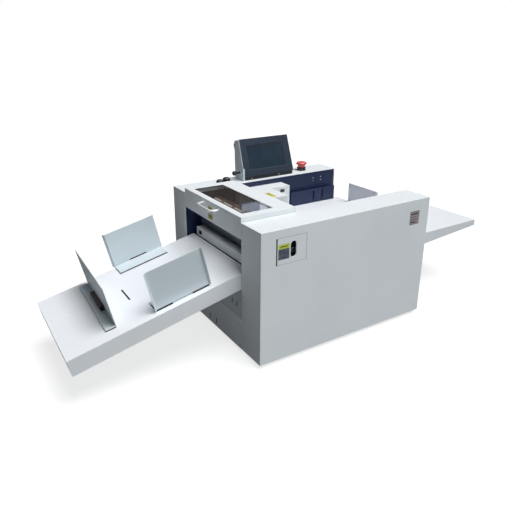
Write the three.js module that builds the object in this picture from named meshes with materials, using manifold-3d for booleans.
// Sheet-fed rotary die cutting machine, desktop size.
// Units are millimetres, +Z is up. X runs against the paper: the delivery end is at -X and the
// infeed end at +X. Y runs from the operator's side (-Y) to the control side (+Y). The origin is
// the centre of the footprint, on the surface that the feet stand on. Inside the "machine" group
// x = 0 is the delivery end of the cabinets, y = 0 their front panel and z = 0 their lower edge.
import * as THREE from "three";
import { mergeVertices } from "three/addons/utils/BufferGeometryUtils.js";
import Module from "manifold-3d";

const wasm = await Module();
wasm.setup();

// ---------------------------------------------------------------- driving dimensions
const LENGTH = 640; // both cabinets
const DEPTH = 552;
const HEIGHT = 400;
const COVER = 2; // sheet of the cabinet covers
const BASE_PLATE = 8;
const END_GAP = 6; // frames and base behind the ends of the covers
const FOOT_HEIGHT = 12;
const FRONT_INNER = 100; // inner edge of the front cabinet
const REAR_INNER = 460; // inner edge of the rear cabinet
const FRAME_PLATE = 10; // thick side frames
const FRAME_INSET = 2; // side frame behind the cabinet's inner edge
const GAP = 0.4; // clearance between touching pieces

const PASS_Z = 282; // height at which the sheet runs
const DIE_X = 118; // axis of the two cutting cylinders
const DIE_RADIUS = 44;
const DIE_CENTRES = 88.5; // distance between the two cylinder axes
const JOURNAL_RADIUS = 15;
const SHAFT_END_RADIUS = 8; // turned-down ends that carry gears, pulley and knob
const BEARING_RADIUS = 26; // bosses of the bearing plates, held in the side frames
const GEAR_TEETH = 28;
const ROLLER_OFFSET = 48; // transport rollers either side of the cylinders
const ROLLER_RADIUS = 12;
const PINCH_RADIUS = 10;
const STUB_RADIUS = 6; // ends of the transport rollers
const PINCH_CENTRES = [160, 240, 320, 400];

const HOOD = { x0: 0, x1: 186, y0: 101.5, y1: 458.5, top: 415, fascia: 350, sheet: 2 };
const WINDOW = { x0: 21, x1: 126, y0: 130, y1: 432 };
const HANDLE = { y0: 230.4, y1: 326.4, z: 400, reach: 24, bend: 14, radius: 4 };
const DOOR = { x0: 49, x1: 151, z0: 296, z1: 374, edge: 1, hingeGap: 4 };
const FINGER_HOLE = { x: 106, z: 336, width: 22, length: 50 };
const INLET = { x0: 540, x1: 568, z0: 40, z1: 60, wall: 3, depth: 24 };

const TRAY_TILT = THREE.MathUtils.degToRad(13.07);
const TRAY = { length: 512, inner: 26, y0: 100.5, y1: 456.5, z: 247.6, sheet: 1.5, flange: 48 };
const GUIDE = { height: 117, sheet: 1.5, magnet: 2.5, foot: 51, wing: 6, length: 162 };

const INFEED = { x1: 1041, y0: 102, y1: 458, z: 222, sheet: 2, inner: 53, outer: 22 };
const TABLE = { x0: 176, x1: 662, y0: 100.5, y1: 459.5, sheet: 2, lip: 30 };
const FEED_HEAD = { x0: 196, x1: 308, far: 388, y0: 308, notch: 408, z0: 300, z1: 380, sheet: 2 };
const STOP = { x: 513, y: 506 };

// ---------------------------------------------------------------- helpers
const finish = (color, roughness, metalness = 0) =>
  new THREE.MeshStandardMaterial({ color, roughness, metalness });
const WHITE = [0xe9edf0, 0.45];
const GREY = [0xa9b4b8, 0.5];
const NAVY = [0x1f2a3a, 0.5];
const BLACK = [0x17181b, 0.5];
const STEEL = [0x9a9ea3, 0.35, 1];
const RUBBER = [0x202022, 0.85];

const machine = new THREE.Group();
const tray = new THREE.Group();

function addMesh(group, name, geometry, [color, roughness, metalness]) {
  const mesh = new THREE.Mesh(geometry, finish(color, roughness, metalness));
  mesh.name = name;
  group.add(mesh);
  return mesh;
}

const box = (x0, x1, y0, y1, z0, z1) =>
  new THREE.BoxGeometry(x1 - x0, y1 - y0, z1 - z0).translate(
    (x0 + x1) / 2,
    (y0 + y1) / 2,
    (z0 + z1) / 2,
  );

function shapeOf(points, holes = []) {
  const shape = new THREE.Shape(points.map(([a, b]) => new THREE.Vector2(a, b)));
  shape.holes = holes.map((hole) => new THREE.Path(hole.map(([a, b]) => new THREE.Vector2(a, b))));
  return shape;
}

const extruded = (shape, depth) =>
  new THREE.ExtrudeGeometry(shape, { depth, bevelEnabled: false, curveSegments: 6, steps: 1 });

// Outline in (y, z), extruded from x0 to x1.
function alongX(points, x0, x1, holes) {
  const turn = new THREE.Matrix4().makeBasis(
    new THREE.Vector3(0, 1, 0),
    new THREE.Vector3(0, 0, 1),
    new THREE.Vector3(1, 0, 0),
  );
  return extruded(shapeOf(points, holes), x1 - x0).applyMatrix4(turn).translate(x0, 0, 0);
}

// Outline in (x, z), extruded from y0 to y1.
const alongY = (points, y0, y1, holes) =>
  extruded(shapeOf(points, holes), y1 - y0).rotateX(Math.PI / 2).translate(0, y1, 0);

// Outline in (x, y), extruded from z0 to z1.
const alongZ = (points, z0, z1, holes) =>
  extruded(shapeOf(points, holes), z1 - z0).translate(0, 0, z0);

// Turned piece on an axis along +Y through (x, z); profile is a list of [y, radius].
function turnedY(profile, x, z, segments = 24) {
  const points = profile.map(([y, radius]) => new THREE.Vector2(radius, y));
  return new THREE.LatheGeometry(points, segments).translate(x, 0, z);
}

// Plain rod on an axis along +Y.
const rodY = (radius, x, z, y0, y1, segments = 24) =>
  turnedY([[y0, 0], [y0, radius], [y1, radius], [y1, 0]], x, z, segments);

// Turned piece on a vertical axis; profile is a list of [z, radius].
function turnedZ(profile, x, y, segments = 24) {
  const points = profile.map(([z, radius]) => new THREE.Vector2(radius, z));
  return new THREE.LatheGeometry(points, segments).rotateX(Math.PI / 2).translate(x, y, 0);
}

// Turned piece on an axis along +X; profile is a list of [x, radius].
function turnedX(profile, y, z, segments = 20) {
  const points = profile.map(([x, radius]) => new THREE.Vector2(radius, x));
  return new THREE.LatheGeometry(points, segments).rotateZ(-Math.PI / 2).translate(0, y, z);
}

function solid(geometry) {
  const bare = geometry.clone();
  bare.deleteAttribute("normal");
  bare.deleteAttribute("uv");
  const merged = mergeVertices(bare, 1e-4);
  const mesh = new wasm.Mesh({
    numProp: 3,
    vertProperties: new Float32Array(merged.attributes.position.array),
    triVerts: new Uint32Array(merged.index.array),
  });
  return new wasm.Manifold(mesh);
}

function geometryOf(body) {
  const mesh = body.getMesh();
  const geometry = new THREE.BufferGeometry();
  geometry.setAttribute("position", new THREE.BufferAttribute(mesh.vertProperties, 3));
  geometry.setIndex(new THREE.BufferAttribute(mesh.triVerts, 1));
  return geometry;
}

const cut = (base, ...tools) =>
  geometryOf(tools.reduce((body, tool) => body.subtract(solid(tool)), solid(base)));
const join = (...pieces) =>
  geometryOf(pieces.slice(1).reduce((body, piece) => body.add(solid(piece)), solid(pieces[0])));

// Slot with round ends, long direction along the second axis of the outline.
function slotOutline(a, b, width, length, steps = 5) {
  const radius = width / 2;
  const reach = length / 2 - radius;
  const points = [];
  for (let i = 0; i <= steps; i++) {
    const angle = (Math.PI * i) / steps;
    points.push([a + radius * Math.cos(angle), b + reach + radius * Math.sin(angle)]);
  }
  for (let i = 0; i <= steps; i++) {
    const angle = Math.PI + (Math.PI * i) / steps;
    points.push([a + radius * Math.cos(angle), b - reach + radius * Math.sin(angle)]);
  }
  return points;
}

// ---------------------------------------------------------------- derived places
const FRONT_FRAME = { y0: FRONT_INNER - FRAME_INSET - FRAME_PLATE, y1: FRONT_INNER - FRAME_INSET };
const REAR_FRAME = { y0: REAR_INNER + FRAME_INSET, y1: REAR_INNER + FRAME_INSET + FRAME_PLATE };
const DIE_Z = PASS_Z + DIE_CENTRES / 2;
const ANVIL_Z = PASS_Z - DIE_CENTRES / 2;
const EXIT_X = DIE_X - ROLLER_OFFSET;
const REGISTER_X = DIE_X + ROLLER_OFFSET;
const LOWER_ROLLER_Z = PASS_Z - ROLLER_RADIUS - 0.2;
const UPPER_ROLLER_Z = PASS_Z + PINCH_RADIUS + 0.2;
const CYLINDER = { y0: 104, y1: 456 };
const GEAR = { y0: 476, y1: 490 };
const PULLEY = { y0: 494, y1: 508 };
const MOTOR = { x: 262, z: 96, radius: 42, length: 92, chamfer: 6 };
const FEED_X = [216, 300]; // feed belt rollers
const FEED_RADIUS = 16;
const BELT_THICKNESS = 2;
const FEED_Z = PASS_Z + 1 - BELT_THICKNESS - GAP - FEED_RADIUS;
const FEED_BELTS = [230, 330];
const BELT_WIDTH = 24;

// ---------------------------------------------------------------- frame and base
function buildBase() {
  const base = box(END_GAP, LENGTH - END_GAP, END_GAP, DEPTH - END_GAP, COVER, COVER + BASE_PLATE);
  addMesh(machine, "base_plate", base, BLACK);
  const places = [
    ["foot_front_delivery", 60, 60],
    ["foot_front_infeed", LENGTH - 60, 60],
    ["foot_rear_delivery", 60, DEPTH - 60],
    ["foot_rear_infeed", LENGTH - 60, DEPTH - 60],
  ];
  for (const [name, x, y] of places) {
    const top = COVER - GAP;
    const profile = [[-FOOT_HEIGHT, 0], [-FOOT_HEIGHT, 17], [-FOOT_HEIGHT + 3, 20], [top, 20], [top, 0]];
    addMesh(machine, name, turnedZ(profile, x, y, 20), RUBBER);
  }
}

// Holes that the side frames have for the cylinders' bearings and the rollers' ends.
function frameHoles(y0, y1) {
  const bore = BEARING_RADIUS + 0.5;
  const stub = STUB_RADIUS + 0.6;
  const holes = [rodY(bore, DIE_X, DIE_Z, y0, y1, 32), rodY(bore, DIE_X, ANVIL_Z, y0, y1, 32)];
  for (const x of [EXIT_X, REGISTER_X])
    for (const z of [LOWER_ROLLER_Z, UPPER_ROLLER_Z]) holes.push(rodY(stub, x, z, y0, y1, 16));
  for (const x of FEED_X) holes.push(rodY(stub, x, FEED_Z, y0, y1, 16));
  return holes;
}

function buildFrames() {
  const z0 = COVER + BASE_PLATE + GAP;
  const z1 = HEIGHT - COVER - 1;
  const front = box(END_GAP, LENGTH - END_GAP, FRONT_FRAME.y0, FRONT_FRAME.y1, z0, z1);
  const rear = box(END_GAP, LENGTH - END_GAP, REAR_FRAME.y0, REAR_FRAME.y1, z0, z1);
  const frontHoles = frameHoles(FRONT_FRAME.y0 - 1, FRONT_FRAME.y1 + 1);
  const rearHoles = frameHoles(REAR_FRAME.y0 - 1, REAR_FRAME.y1 + 1);
  const shaftHole = rodY(12, MOTOR.x, MOTOR.z, REAR_FRAME.y0 - 1, REAR_FRAME.y1 + 1, 20);
  addMesh(machine, "front_side_frame", cut(front, ...frontHoles), NAVY);
  addMesh(machine, "rear_side_frame", cut(rear, ...rearHoles, shaftHole), NAVY);
  const stay = box(40, 58, FRONT_FRAME.y1 + GAP, REAR_FRAME.y0 - GAP, 314, 344);
  addMesh(machine, "exit_cross_stay", stay, NAVY);
}

// One carrier plate on the outside of each side frame holds the bearings of both cylinders.
function buildBearings() {
  const sides = [
    ["front", FRONT_FRAME.y0 - 6, FRONT_FRAME.y0 - GAP, FRONT_FRAME.y0 - 1, FRONT_FRAME.y1],
    ["rear", REAR_FRAME.y1 + GAP, REAR_FRAME.y1 + 3, REAR_FRAME.y0, REAR_FRAME.y1 + 1],
  ];
  for (const [side, plate0, plate1, boss0, boss1] of sides) {
    const bore = JOURNAL_RADIUS + 0.5;
    const axes = [DIE_Z, ANVIL_Z];
    const plate = box(DIE_X - 36, DIE_X + 36, plate0, plate1, ANVIL_Z - 40, DIE_Z + 40);
    const bosses = axes.map((z) => rodY(BEARING_RADIUS, DIE_X, z, boss0, boss1, 32));
    const bores = axes.map((z) => rodY(bore, DIE_X, z, plate0 - 20, plate1 + 20, 32));
    addMesh(machine, `bearing_plate_${side}`, cut(join(plate, ...bosses), ...bores), STEEL);
  }
}

// ---------------------------------------------------------------- covers
function buildFrontCover() {
  const shell = box(0, LENGTH, 0, FRONT_INNER, 0, HEIGHT);
  const inside = box(COVER, LENGTH - COVER, COVER, FRONT_INNER + 1, -1, HEIGHT - COVER);
  const doorway = box(DOOR.x0, DOOR.x1, -1, COVER + 1, DOOR.z0, DOOR.z1);
  addMesh(machine, "front_cover", cut(shell, inside, doorway), WHITE);

  const { edge, hingeGap } = DOOR;
  const hingeEdge = DOOR.x0 + hingeGap;
  const { x, z, width, length } = FINGER_HOLE;
  const door = box(hingeEdge, DOOR.x1 - edge, 0, COVER, DOOR.z0 + edge, DOOR.z1 - edge);
  const fingerHole = alongY(slotOutline(x, z, width, length), -1, COVER + 1);
  const knuckle = box(hingeEdge, hingeEdge + 6, COVER - 0.5, COVER + 4, DOOR.z0 + 6, DOOR.z1 - 6);
  addMesh(machine, "access_door", join(cut(door, fingerHole), knuckle), WHITE);
}

function buildRearCover() {
  const shell = box(0, LENGTH, REAR_INNER, DEPTH, 0, HEIGHT);
  const inside = box(COVER, LENGTH - COVER, REAR_INNER - 1, DEPTH - COVER, -1, HEIGHT - COVER);
  const { x0, x1, z0, z1, wall, depth } = INLET;
  const inlet = box(x0, x1, DEPTH - COVER - 1, DEPTH + 1, z0, z1);
  addMesh(machine, "rear_cover", cut(shell, inside, inlet), WHITE);
  const rim = box(x0 + GAP, x1 - GAP, DEPTH - depth, DEPTH, z0 + GAP, z1 - GAP);
  const mouth = box(x0 + wall, x1 - wall, DEPTH - depth + 4, DEPTH + 1, z0 + wall, z1 - wall);
  addMesh(machine, "power_inlet", cut(rim, mouth), BLACK);
}

function buildEndPanels() {
  const y0 = FRONT_INNER + 1;
  const y1 = REAR_INNER - 1;
  const seam = 102;
  const lower = box(0, COVER, y0, y1, 0, seam);
  const lowerSlots = [258, 301].map((y) => alongX(slotOutline(y, 20, 7, 24), -1, COVER + 1));
  addMesh(machine, "delivery_lower_panel", cut(lower, ...lowerSlots), WHITE);
  const bracket = box(COVER + GAP, 2 * COVER + GAP, 104, 453, seam - 10, 243);
  const slots = [[131, 139], [159, 139], [425, 139], [397, 139]];
  const bracketSlots = slots.map(([y, z]) => alongX(slotOutline(y, z, 6, 18), 0, 6));
  addMesh(machine, "tray_bracket", cut(bracket, ...bracketSlots), GREY);
  addMesh(machine, "infeed_end_panel", box(LENGTH - COVER, LENGTH, y0, y1, 0, 270), WHITE);
}

// ---------------------------------------------------------------- hood
function buildHood() {
  const { x0, x1, y0, y1, top, fascia, sheet } = HOOD;
  const skirt = HEIGHT - 8;
  const block = join(box(x0, x1, y0, y1, skirt, top), box(x0, x0 + 20, y0, y1, fascia, skirt + 1));
  const inside = box(x0 + sheet, x1 - sheet, y0 + sheet, y1 - sheet, fascia - 1, top - sheet);
  const pane = box(WINDOW.x0, WINDOW.x1, WINDOW.y0, WINDOW.y1, top - 10, top + 1);
  addMesh(machine, "hood_cover", cut(block, inside, pane), WHITE);
  const { x0: w0, x1: w1, y0: v0, y1: v1 } = WINDOW;
  const glass = box(w0 + GAP, w1 - GAP, v0 + GAP, v1 - GAP, top - 3.5, top - 0.5);
  addMesh(machine, "hood_window", glass, BLACK);
  const pin = rodY(4, x1 + 5, skirt + 2, FRONT_FRAME.y1 + 1, REAR_FRAME.y0 - 1, 16);
  addMesh(machine, "hood_hinge_pin", pin, STEEL);
}

// Round bar bent to a bow that stands out of the hood's fascia.
function buildHandle() {
  const { y0, y1, z, reach, bend, radius } = HANDLE;
  const point = (x, y) => new THREE.Vector3(x, y, z);
  const path = new THREE.CurvePath();
  const straight = (a, b) => path.add(new THREE.LineCurve3(a, b));
  const corner = (a, b, c) => path.add(new THREE.QuadraticBezierCurve3(a, b, c));
  const near = bend - reach;
  straight(point(-GAP, y0), point(near, y0));
  corner(point(near, y0), point(-reach, y0), point(-reach, y0 + bend));
  straight(point(-reach, y0 + bend), point(-reach, y1 - bend));
  corner(point(-reach, y1 - bend), point(-reach, y1), point(near, y1));
  straight(point(near, y1), point(-GAP, y1));
  const ring = new THREE.Shape().absarc(0, 0, radius, 0, 2 * Math.PI);
  const bar = new THREE.ExtrudeGeometry(ring, { extrudePath: path, steps: 28, curveSegments: 5 });
  addMesh(machine, "hood_handle", bar, STEEL);
}

// ---------------------------------------------------------------- cutting cylinders and drive
function cylinder(name, z, color, frontEnd) {
  const j = JOURNAL_RADIUS;
  const profile = [
    [frontEnd, 0], [frontEnd, j], [CYLINDER.y0, j], [CYLINDER.y0, DIE_RADIUS],
    [CYLINDER.y1, DIE_RADIUS], [CYLINDER.y1, j], [GEAR.y0 - GAP, j],
    [GEAR.y0 - GAP, SHAFT_END_RADIUS], [PULLEY.y1 + 6, SHAFT_END_RADIUS], [PULLEY.y1 + 6, 0],
  ];
  addMesh(machine, name, turnedY(profile, DIE_X, z, 40), color);
}

function gearOutline(x, z, phase) {
  const pitch = DIE_CENTRES / 2;
  const step = (2 * Math.PI) / GEAR_TEETH;
  const root = pitch - 3.4;
  const tip = pitch + 2.2;
  const corners = [[-0.34, root], [-0.13, tip], [0.13, tip], [0.34, root]];
  const points = [];
  for (let i = 0; i < GEAR_TEETH; i++) {
    for (const [turn, radius] of corners) {
      const angle = phase + (i + turn) * step;
      points.push([x + radius * Math.cos(angle), z + radius * Math.sin(angle)]);
    }
  }
  return points;
}

const circle = (x, z, radius, count) =>
  Array.from({ length: count }, (_, i) => {
    const angle = (2 * Math.PI * i) / count;
    return [x + radius * Math.cos(angle), z + radius * Math.sin(angle)];
  });

const hubHole = (z) => circle(DIE_X, z, SHAFT_END_RADIUS + 0.3, 20);

// Outline of a tight band round two circles; radiusA is the larger or equal one.
function bandOutline(a, b, radiusA, radiusB, count = 14) {
  const dx = b[0] - a[0];
  const dz = b[1] - a[1];
  const along = Math.atan2(dz, dx);
  const lean = Math.acos((radiusA - radiusB) / Math.hypot(dx, dz));
  const points = [];
  for (let i = 0; i <= count; i++) {
    const angle = along + lean + ((2 * Math.PI - 2 * lean) * i) / count;
    points.push([a[0] + radiusA * Math.cos(angle), a[1] + radiusA * Math.sin(angle)]);
  }
  for (let i = 0; i <= count; i++) {
    const angle = along - lean + (2 * lean * i) / count;
    points.push([b[0] + radiusB * Math.cos(angle), b[1] + radiusB * Math.sin(angle)]);
  }
  return points;
}

function buildCuttingUnit() {
  cylinder("die_cylinder", DIE_Z, [0x6b5347, 0.4, 0.8], 40);
  cylinder("anvil_cylinder", ANVIL_Z, STEEL, 70);
  const step = Math.PI / GEAR_TEETH;
  const gears = [["die_gear", DIE_Z, -Math.PI / 2], ["anvil_gear", ANVIL_Z, Math.PI / 2 + step]];
  for (const [name, z, phase] of gears) {
    const wheel = alongY(gearOutline(DIE_X, z, phase), GEAR.y0, GEAR.y1, [hubHole(z)]);
    addMesh(machine, name, wheel, STEEL);
  }
  const knob = [[14, 0], [14, 26], [18, 30], [36, 30], [39.6, 26], [39.6, 0]];
  addMesh(machine, "die_hand_knob", turnedY(knob, DIE_X, DIE_Z, 28), BLACK);
}

function buildDrive() {
  const big = 36;
  const small = 20;
  const wheel = alongY(circle(DIE_X, ANVIL_Z, big, 36), PULLEY.y0, PULLEY.y1, [hubHole(ANVIL_Z)]);
  addMesh(machine, "anvil_pulley", wheel, STEEL);
  const rotor = [
    [REAR_FRAME.y0 - 1, 0], [REAR_FRAME.y0 - 1, 6], [PULLEY.y0, 6], [PULLEY.y0, small],
    [PULLEY.y1, small], [PULLEY.y1, 0],
  ];
  addMesh(machine, "motor_pulley", turnedY(rotor, MOTOR.x, MOTOR.z, 28), STEEL);
  const band = (offset) => bandOutline([DIE_X, ANVIL_Z], [MOTOR.x, MOTOR.z], big + offset, small + offset);
  const belt = alongY(band(GAP + 3), PULLEY.y0 + 1, PULLEY.y1 - 1, [band(GAP + 0.3)]);
  addMesh(machine, "drive_belt", belt, RUBBER);
  const y1 = REAR_FRAME.y0 - 2;
  const { radius, length, chamfer } = MOTOR;
  const y0 = y1 - length;
  const can = [[y0, 0], [y0, radius - chamfer], [y0 + chamfer, radius], [y1, radius], [y1, 0]];
  addMesh(machine, "drive_motor", turnedY(can, MOTOR.x, MOTOR.z, 28), BLACK);
}

// ---------------------------------------------------------------- transport and feed rollers
// Four profile points of a collar on a roller's stub.
const collar = (y, half, radius) => [
  [y - half, STUB_RADIUS], [y - half, radius], [y + half, radius], [y + half, STUB_RADIUS],
];

function buildRollers() {
  const ends = [FRONT_FRAME.y0 - 4, REAR_FRAME.y1 + 2];
  for (const [role, x] of [["exit", EXIT_X], ["register", REGISTER_X]]) {
    const lower = [
      [ends[0], 0], [ends[0], STUB_RADIUS], [CYLINDER.y0, STUB_RADIUS], [CYLINDER.y0, ROLLER_RADIUS],
      [CYLINDER.y1, ROLLER_RADIUS], [CYLINDER.y1, STUB_RADIUS], [ends[1], STUB_RADIUS], [ends[1], 0],
    ];
    addMesh(machine, `${role}_roller_lower`, turnedY(lower, x, LOWER_ROLLER_Z, 20), RUBBER);
    const upper = [[ends[0], 0], [ends[0], STUB_RADIUS]];
    for (const y of PINCH_CENTRES) upper.push(...collar(y, 12, PINCH_RADIUS));
    upper.push([ends[1], STUB_RADIUS], [ends[1], 0]);
    addMesh(machine, `${role}_roller_upper`, turnedY(upper, x, UPPER_ROLLER_Z, 20), STEEL);
  }
}

function buildFeed() {
  const { x0, x1, y0, y1, sheet, lip } = TABLE;
  const ends = [FRONT_FRAME.y0 - 4, REAR_FRAME.y1 + 2];
  const top = PASS_Z;
  const slots = FEED_BELTS.map((y) => {
    const half = BELT_WIDTH / 2 + 3;
    return box(FEED_X[0] - 24, FEED_X[1] + 24, y - half, y + half, top - sheet - 1, top + 1);
  });
  const deck = join(box(x0, x1, y0, y1, top - sheet, top), box(x1 - sheet, x1, y0, y1, top - lip, top));
  const registerGap = box(x0 - 1, x0 + 6, y0 - 1, y1 + 1, top - sheet - 1, top + 1);
  addMesh(machine, "feed_table", cut(deck, ...slots, registerGap), WHITE);
  FEED_X.forEach((x, i) => {
    const profile = [[ends[0], 0], [ends[0], STUB_RADIUS]];
    for (const y of FEED_BELTS) profile.push(...collar(y, BELT_WIDTH / 2 + 1, FEED_RADIUS));
    profile.push([ends[1], STUB_RADIUS], [ends[1], 0]);
    addMesh(machine, ["feed_drive_roller", "feed_idler_roller"][i], turnedY(profile, x, FEED_Z, 20), STEEL);
  });
  const at = FEED_X.map((x) => [x, FEED_Z]);
  const band = (radius) => bandOutline(at[0], at[1], radius, radius);
  const outer = band(FEED_RADIUS + GAP + BELT_THICKNESS);
  const inner = band(FEED_RADIUS + GAP);
  FEED_BELTS.forEach((y, i) => {
    const belt = alongY(outer, y - BELT_WIDTH / 2, y + BELT_WIDTH / 2, [inner]);
    addMesh(machine, `feed_belt_${i + 1}`, belt, RUBBER);
  });
}

function buildFeedHead() {
  const { x0, x1, far, y0, notch, z0, z1, sheet } = FEED_HEAD;
  const y1 = REAR_FRAME.y0 - GAP;
  const plan = (s) => [
    [x0 + s, y0 + s], [x1 - s, y0 + s], [x1 - s, notch + s],
    [far - s, notch + s], [far - s, y1 - s], [x0 + s, y1 - s],
  ];
  const port = box(347, 366, notch - 1, notch + sheet + 1, 358, 370);
  const cover = cut(alongZ(plan(0), z0, z1), alongZ(plan(sheet), z0 - 1, z1 - sheet), port);
  addMesh(machine, "feed_head_cover", cover, WHITE);
  const radius = 12;
  const separator = rodY(radius, FEED_X[0] + 20, PASS_Z + radius + 2.4, y0 + 8, y0 + 68);
  addMesh(machine, "separator_roller", separator, RUBBER);
}

function buildFeedGuides() {
  const z0 = PASS_Z + 1;
  const rear = join(box(424, 632, 447, 450, z0, 336), box(424, 632, 447, 459, z0, z0 + 2));
  const slots = [531, 573].map((x) => box(x - 3, x + 3, 446, 451, z0 + 6, 330));
  addMesh(machine, "feed_guide_rear", cut(rear, ...slots), NAVY);
  const front = join(box(424, 632, 110, 113, z0, 336), box(424, 632, 101.5, 113, z0, z0 + 2));
  addMesh(machine, "feed_guide_front", front, NAVY);
  const wall = box(656, 658, 240, 392, z0, 354);
  const lip = box(650, 657, 240, 242, 340, 354);
  const foot = box(628, 657, 262, 370, z0, z0 + 2);
  addMesh(machine, "feed_end_guide", join(wall, lip, foot), GREY);
}

// ---------------------------------------------------------------- infeed extension table
function buildInfeedTable() {
  const { x1, y0, y1, z, sheet, inner, outer } = INFEED;
  const x0 = LENGTH + GAP;
  const profile = [[x0, z], [x0, z - inner], [x1, z - outer], [x1, z]];
  const hollow = [
    [x0 + sheet, z - sheet], [x0 + sheet, z - inner - 5],
    [x1 - sheet, z - inner - 5], [x1 - sheet, z - sheet],
  ];
  const table = cut(alongY(profile, y0, y1), alongY(hollow, y0 + sheet, y1 - sheet));
  addMesh(machine, "infeed_table", table, WHITE);
}

// ---------------------------------------------------------------- delivery
function buildExitBeam() {
  const beam = { x0: 28, x1: 56, y0: 101, y1: 438, z0: 255, z1: 282.6, wall: 2 };
  const { x0, x1, y0, y1, z0, z1, wall } = beam;
  const hollow = box(x0 + wall, x1 - wall, y0 - 1, y1 - wall, z0 + wall, z1 - wall);
  const port = box(x0 - 1, x0 + wall + 1, 401, 425, 260, 275);
  addMesh(machine, "exit_beam", cut(box(x0, x1, y0, y1, z0, z1), hollow, port), GREY);
}

// The tray group's x runs up the slope from the outer end, and its z stands square to the tray.
function buildTray() {
  const { length, inner, y0, y1, sheet, flange } = TRAY;
  const shell = box(-length, inner, y0, y1, -flange, 0);
  const under = box(-length + sheet, inner + 1, y0 + sheet, y1 - sheet, -flange - 1, -sheet);
  const longSlot = box(-294, -289, 238, 311, -3, 1);
  const sideSlot = box(-258, -253, 130, 165, -3, 1);
  const holes = [-452, -501].map((x) => turnedZ([[-3, 0], [-3, 3], [1, 3], [1, 0]], x, 316, 12));
  addMesh(tray, "delivery_tray", cut(shell, under, longSlot, sideSlot, ...holes), WHITE);
  tray.rotation.y = -TRAY_TILT;
  tray.position.z = TRAY.z;
  machine.add(tray);
}

// Upright plate whose two ends bend away from the paper, in plan; side is +1 or -1 along b.
function bentPlate(a0, a1, b, side) {
  const t = GUIDE.sheet * side;
  const w = GUIDE.wing;
  const k = 0.41 * t; // inner corner of a 45 degree bend
  return [
    [a0 - w, b + w * side + t], [a0 - w + Math.abs(t) * 1.41, b + w * side + t],
    [a0 + Math.abs(k), b + t], [a1 - Math.abs(k), b + t],
    [a1 + w - Math.abs(t) * 1.41, b + w * side + t], [a1 + w, b + w * side + t],
    [a1, b], [a0, b],
  ];
}

function sideGuide(role, y, side, a0) {
  const z0 = GAP + GUIDE.magnet + GAP;
  const z1 = z0 + GUIDE.height;
  const a1 = a0 + GUIDE.length;
  const outline = bentPlate(a0, a1, y, side);
  if (side < 0) outline.reverse();
  const inward = y - side * GUIDE.foot;
  const foot = box(a0, a1, Math.min(y + side, inward), Math.max(y + side, inward), z0, z0 + GUIDE.sheet);
  const middle = (a0 + a1) / 2;
  const notch = box(middle - 29, middle + 29, y - 3, y + 3, z0 - 1, z0 + 6);
  const guide = join(alongZ(outline, z0, z1), foot);
  addMesh(tray, `tray_guide_${role}`, side > 0 ? cut(guide, notch) : guide, GREY);
}

function endGuide() {
  const z0 = GAP + GUIDE.magnet + GAP;
  const [y0, y1] = [140, 439];
  const [outer, inner] = [-395, -365];
  // Slightly askew, as a hand leaves a guide that only magnets hold.
  const askew = THREE.MathUtils.degToRad(-1.7);
  const plate = box(inner - GUIDE.sheet, inner, y0, y1, z0, z0 + GUIDE.height);
  const foot = box(outer, inner, y0, y1 - 8, z0, z0 + GUIDE.sheet);
  const post = box(inner - 12, inner - 1, 243, 339, z0 + 1, z0 + 15);
  const guide = join(plate, foot, post).translate(-inner, -y0, 0).rotateZ(askew);
  addMesh(tray, "tray_guide_end", guide.translate(inner, y0, 0), GREY);
}

// ---------------------------------------------------------------- controls
const PANEL_TILT = THREE.MathUtils.degToRad(20.6);
const PANEL = { x0: 258, x1: 469, y: 496, z: 408, height: 137, thick: 5 };
const PANEL_CASE = { x0: 239, x1: 448, r0: 8, r1: 126, depth: 12 };
const DISPLAY = { r0: 24, r1: 111, x0: PANEL.x0 + 26, x1: PANEL.x0 + 182 };
const TILT_SCREW = { y: 502, z: 426.5 };

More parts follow.
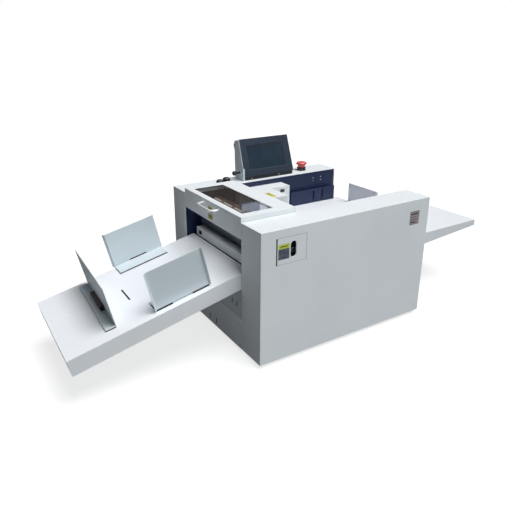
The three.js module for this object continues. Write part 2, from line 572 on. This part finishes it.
function buildTouchPanel() {
  const floor = box(236, 453, 482, 521, HEIGHT + GAP, HEIGHT + 2.4);
  const side = [[474, 400.4], [532, 400.4], [538, 535], [508, 542], [478, 444]];
  const screwHole = circle(TILT_SCREW.y, TILT_SCREW.z, 5, 12);
  const left = join(alongX(side, 235, 237, [screwHole]), box(236, 242, 476.5, 478, 401, 444));
  const inner = [[514, 400.4], [523, 400.4], [535, 470], [529.5, 470]];
  addMesh(machine, "panel_bracket", join(floor, left, alongX(inner, 452, 454)), GREY);
  addMesh(machine, "panel_lip", box(243, 451, 478.5, 480.5, HEIGHT + GAP, HEIGHT + 14), BLACK);

  const up = [Math.sin(PANEL_TILT), Math.cos(PANEL_TILT)];
  const back = [Math.cos(PANEL_TILT), -Math.sin(PANEL_TILT)];
  const at = (rise, deep) => [
    PANEL.y + up[0] * rise + back[0] * deep,
    PANEL.z + up[1] * rise + back[1] * deep,
  ];
  const slab = (r0, r1, d0, d1) => [at(r0, d0), at(r0, d1), at(r1, d1), at(r1, d0)];
  const frame = alongX(slab(0, PANEL.height, 0, PANEL.thick), PANEL.x0, PANEL.x1);
  const { r0, r1, x0, x1 } = DISPLAY;
  const aperture = alongX(slab(r0, r1, -1, 3), x0, x1);
  addMesh(machine, "panel_bezel", cut(frame, aperture), [0x27303d, 0.4]);
  const glass = alongX(slab(r0 + GAP, r1 - GAP, 1, 3 - GAP), x0 + GAP, x1 - GAP);
  addMesh(machine, "panel_screen", glass, [0x1c2c3c, 0.15]);
  const shell = slab(PANEL_CASE.r0, PANEL_CASE.r1, PANEL.thick + GAP, PANEL_CASE.depth);
  addMesh(machine, "panel_case", alongX(shell, PANEL_CASE.x0, PANEL_CASE.x1), BLACK);
  const screw = [
    [206, 0], [206, 6], [209, 8.5], [217, 8.5], [221, 5], [221, 3.5], [246, 3.5], [246, 0],
  ];
  addMesh(machine, "panel_thumb_screw", turnedX(screw, TILT_SCREW.y, TILT_SCREW.z, 20), BLACK);
}

function buildButtons() {
  const base = HEIGHT + GAP;
  const cup = [
    [base, 0], [base, 17], [411, 17], [411, 15], [407.5, 15], [407.5, 9], [401.8, 9], [401.8, 0],
  ];
  addMesh(machine, "stop_collar", turnedZ(cup, STOP.x, STOP.y, 28), BLACK);
  const head = [
    [406.6, 0], [406.6, 8], [412, 8], [412, 13.5], [419, 14], [423, 18.5], [425.5, 20],
    [429, 19.4], [433, 12], [434, 0],
  ];
  addMesh(machine, "stop_button", turnedZ(head, STOP.x, STOP.y, 28), [0xc8322c, 0.35]);
  const knobs = [["air_knob_small", 147.5, 489, 12.5, 16], ["air_knob_large", 178, 496, 13.5, 19]];
  for (const [name, x, y, radius, height] of knobs) {
    const top = HEIGHT + height;
    const knob = [
      [base, 0], [base, radius], [top - 3.5, radius],
      [top - 1.5, radius * 0.8], [top, radius * 0.4], [top, 0],
    ];
    addMesh(machine, name, turnedZ(knob, x, y, 24), BLACK);
  }
}

buildBase();
buildFrames();
buildBearings();
buildFrontCover();
buildRearCover();
buildEndPanels();
buildHood();
buildHandle();
buildCuttingUnit();
buildDrive();
buildRollers();
buildFeed();
buildFeedHead();
buildFeedGuides();
buildInfeedTable();
buildExitBeam();
buildTray();
sideGuide("rear", 454, 1, -260);
sideGuide("front", 124, -1, -256);
endGuide();
buildTouchPanel();
buildButtons();

const root = new THREE.Group();
const trayEnd = -TRAY.length * Math.cos(TRAY_TILT);
machine.position.set(-(trayEnd + INFEED.x1) / 2, -DEPTH / 2, FOOT_HEIGHT);
root.add(machine);

export default root;
